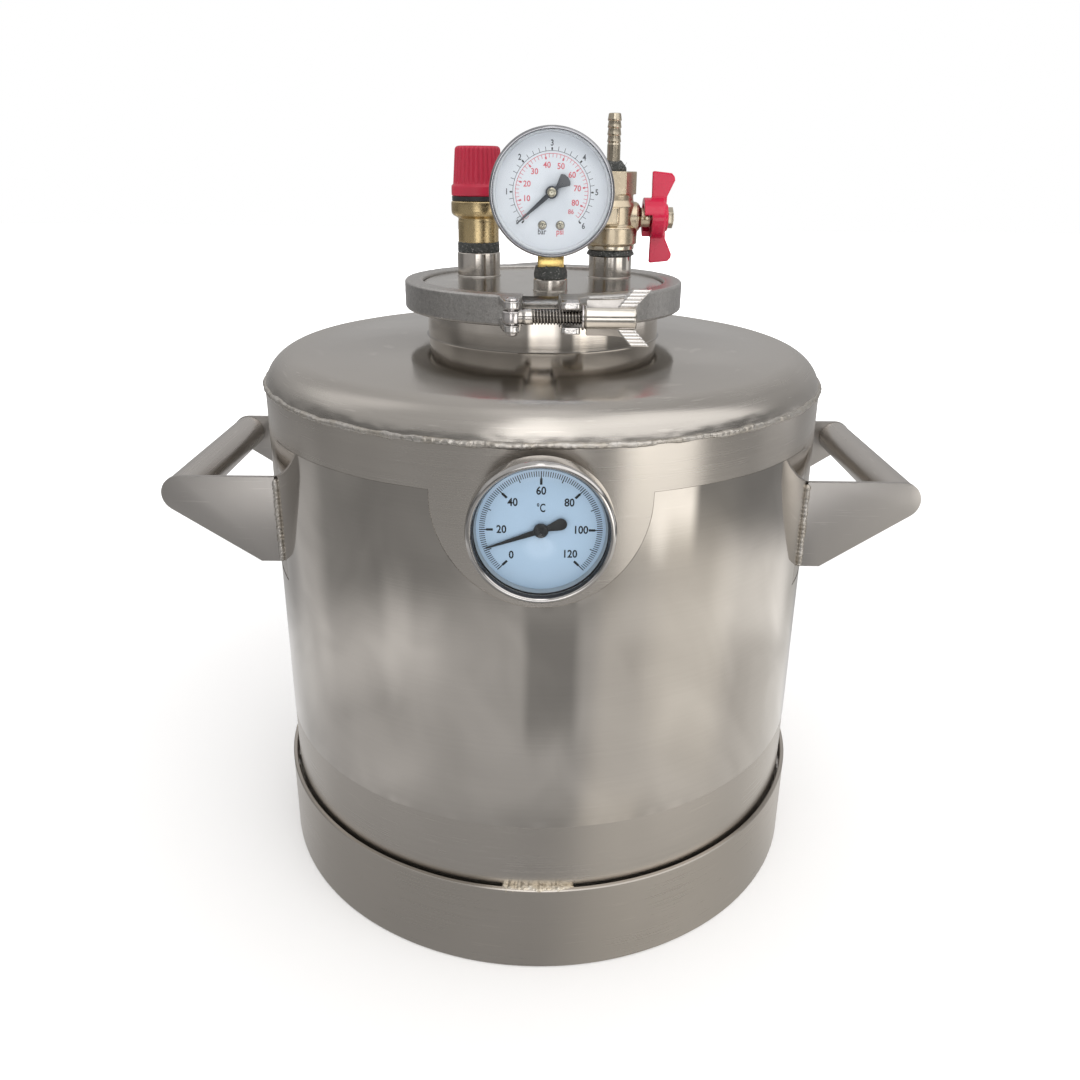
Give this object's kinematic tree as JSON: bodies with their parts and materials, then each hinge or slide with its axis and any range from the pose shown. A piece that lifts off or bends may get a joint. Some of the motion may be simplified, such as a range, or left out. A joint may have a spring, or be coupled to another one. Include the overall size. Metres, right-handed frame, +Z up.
{
  "type": "clamped-lid pressure pot",
  "caption": "Stainless pressure pot with a clamped lid, dial gauge, relief valve, ball valve with hose tail and a dial thermometer, for curing or heating work under pressure.",
  "frame": {"origin": "on the floor plane at the vessel's axis", "axes": "+Z up along the vessel axis, -Y towards the viewer of the dials, +X to that viewer's right"},
  "size_m": [0.44, 0.361, 0.4549],
  "materials": {
    "stainless_sheet": "brushed",
    "weld_bead": "rippled weld",
    "film": "glossy film",
    "turned_stainless": "turned",
    "black_rubber": "matte",
    "cast_stainless": "blasted casting",
    "polished_stainless": "polished",
    "thread_paste": "matte paste",
    "yellow_brass": "machined",
    "black_plastic": "matte",
    "red_plastic": "satin moulded",
    "spring_steel": "satin",
    "dark_steel": "satin",
    "clear_lens": "clear",
    "white_dial": "printed matte",
    "blue_dial": "printed matte",
    "black_paint": "satin",
    "nickel_brass": "nickel-plated, sand cast",
    "ptfe": "waxy",
    "red_paint": "glossy dipped",
    "chrome_bezel": "polished"
  },
  "bodies": {
    "vessel": {"vessel_shell": "stainless_sheet", "top_head": "stainless_sheet", "bottom_head": "stainless_sheet", "seam_weld_beads": "weld_bead", "base_ring": "stainless_sheet", "base_ring_tacks": "weld_bead", "protective_film": "film", "handle_plates": "stainless_sheet", "handle_grips": "stainless_sheet", "handle_weld_beads": "weld_bead", "neck_ferrule": "stainless_sheet", "clamp_gasket": "black_rubber", "lid_plate": "stainless_sheet", "relief_socket": "turned_stainless", "gauge_socket": "turned_stainless", "valve_socket": "turned_stainless", "thread_sealant": "thread_paste", "relief_body": "yellow_brass", "relief_bonnet": "yellow_brass", "relief_collar": "black_plastic", "gauge_case": "dark_steel", "gauge_bezel": "dark_steel", "gauge_lens": "clear_lens", "gauge_dial": "white_dial", "gauge_dial_screws": "yellow_brass", "gauge_stem": "yellow_brass", "gauge_bourdon_tube": "yellow_brass", "gauge_movement_frame": "yellow_brass", "valve_body": "nickel_brass", "valve_nipple": "nickel_brass", "valve_seals": "ptfe", "hose_barb": "nickel_brass", "thermo_socket": "turned_stainless", "thermo_case": "turned_stainless", "thermo_bezel": "chrome_bezel", "thermo_lens": "clear_lens", "thermo_dial": "blue_dial", "thermo_probe": "turned_stainless", "thermo_bimetal_coil": "spring_steel"},
    "clamp_left": {"clamp_half_left": "cast_stainless", "clamp_hinge_pin": "polished_stainless", "clamp_bolt_pin": "polished_stainless"},
    "clamp_right": {"clamp_half_right": "cast_stainless"},
    "swing_bolt": {"clamp_swing_bolt": "polished_stainless"},
    "nut_washer": {"clamp_nut_washer": "polished_stainless"},
    "wing_nut": {"clamp_wing_nut": "polished_stainless"},
    "relief_cap": {"relief_cap": "red_plastic"},
    "relief_stem": {"relief_stem": "yellow_brass", "relief_seat_seal": "black_rubber", "relief_spring": "spring_steel"},
    "gauge_pointer": {"gauge_pointer": "black_paint", "gauge_pinion_arbor": "yellow_brass"},
    "gauge_sector": {"gauge_sector_gear": "yellow_brass"},
    "valve_handle": {"valve_handle": "red_paint", "valve_stem": "polished_stainless", "valve_ball": "polished_stainless", "valve_handle_nut": "nickel_brass"},
    "thermo_pointer": {"thermo_pointer": "black_paint", "thermo_arbor": "polished_stainless"}
  },
  "joints": [
    {"name": "wing_nut_spin", "type": "hinge", "parent": "nut_washer", "child": "wing_nut", "pos_m": [0.03, -0.099, 0.3533], "axis": [1, 0, 0], "range_deg": [0, 4320]},
    {"name": "nut_travel", "type": "slide", "parent": "swing_bolt", "child": "nut_washer", "axis": [1, 0, 0], "range_m": [0, 0.0194]},
    {"name": "clamp_left_swing", "type": "hinge", "parent": "vessel", "child": "clamp_left", "pos_m": [0, 0.088, 0.3533], "axis": [0, 0, -1], "range_deg": [0, 2.9]},
    {"name": "clamp_right_swing", "type": "hinge", "parent": "vessel", "child": "clamp_right", "pos_m": [0, 0.088, 0.3533], "axis": [0, 0, 1], "range_deg": [0, 2.9]},
    {"name": "swing_bolt_pivot", "type": "hinge", "parent": "clamp_left", "child": "swing_bolt", "pos_m": [-0.0158, -0.099, 0.3533], "axis": [0, 0, -1], "range_deg": [0, 110]},
    {"name": "relief_cap_twist", "type": "hinge", "parent": "vessel", "child": "relief_cap", "pos_m": [-0.0405, 0.026, 0.41], "axis": [0, 0, -1], "range_deg": [0, 90]},
    {"name": "relief_stem_lift", "type": "slide", "parent": "vessel", "child": "relief_stem", "axis": [0, 0, 1], "range_m": [0, 0.00205], "deforming": ["relief_spring"]},
    {"name": "gauge_pointer_turn", "type": "hinge", "parent": "vessel", "child": "gauge_pointer", "pos_m": [0.004, -0.05, 0.412], "axis": [0, 1, 0], "range_deg": [-4, 266]},
    {"name": "gauge_sector_turn", "type": "hinge", "parent": "vessel", "child": "gauge_sector", "pos_m": [0.004, -0.045, 0.392], "axis": [0, -1, 0], "range_deg": [-0.5, 29.6]},
    {"name": "valve_handle_turn", "type": "hinge", "parent": "vessel", "child": "valve_handle", "pos_m": [0.0418, 0.026, 0.3955], "axis": [-1, 0, 0], "range_deg": [0, 90]},
    {"name": "thermo_pointer_turn", "type": "hinge", "parent": "vessel", "child": "thermo_pointer", "pos_m": [0, -0.18, 0.271], "axis": [0, 1, 0], "range_deg": [-25.6, 244.4]}
  ],
  "couplings": [
    {"joint": "nut_travel", "follows": "wing_nut_spin", "m_per_rad": 0.00025465},
    {"joint": "clamp_left_swing", "follows": "wing_nut_spin", "ratio": 0.0006596},
    {"joint": "clamp_right_swing", "follows": "wing_nut_spin", "ratio": 0.0006596},
    {"joint": "relief_stem_lift", "follows": "relief_cap_twist", "m_per_rad": 0.0012732},
    {"joint": "gauge_sector_turn", "follows": "gauge_pointer_turn", "ratio": 0.11111}
  ]
}
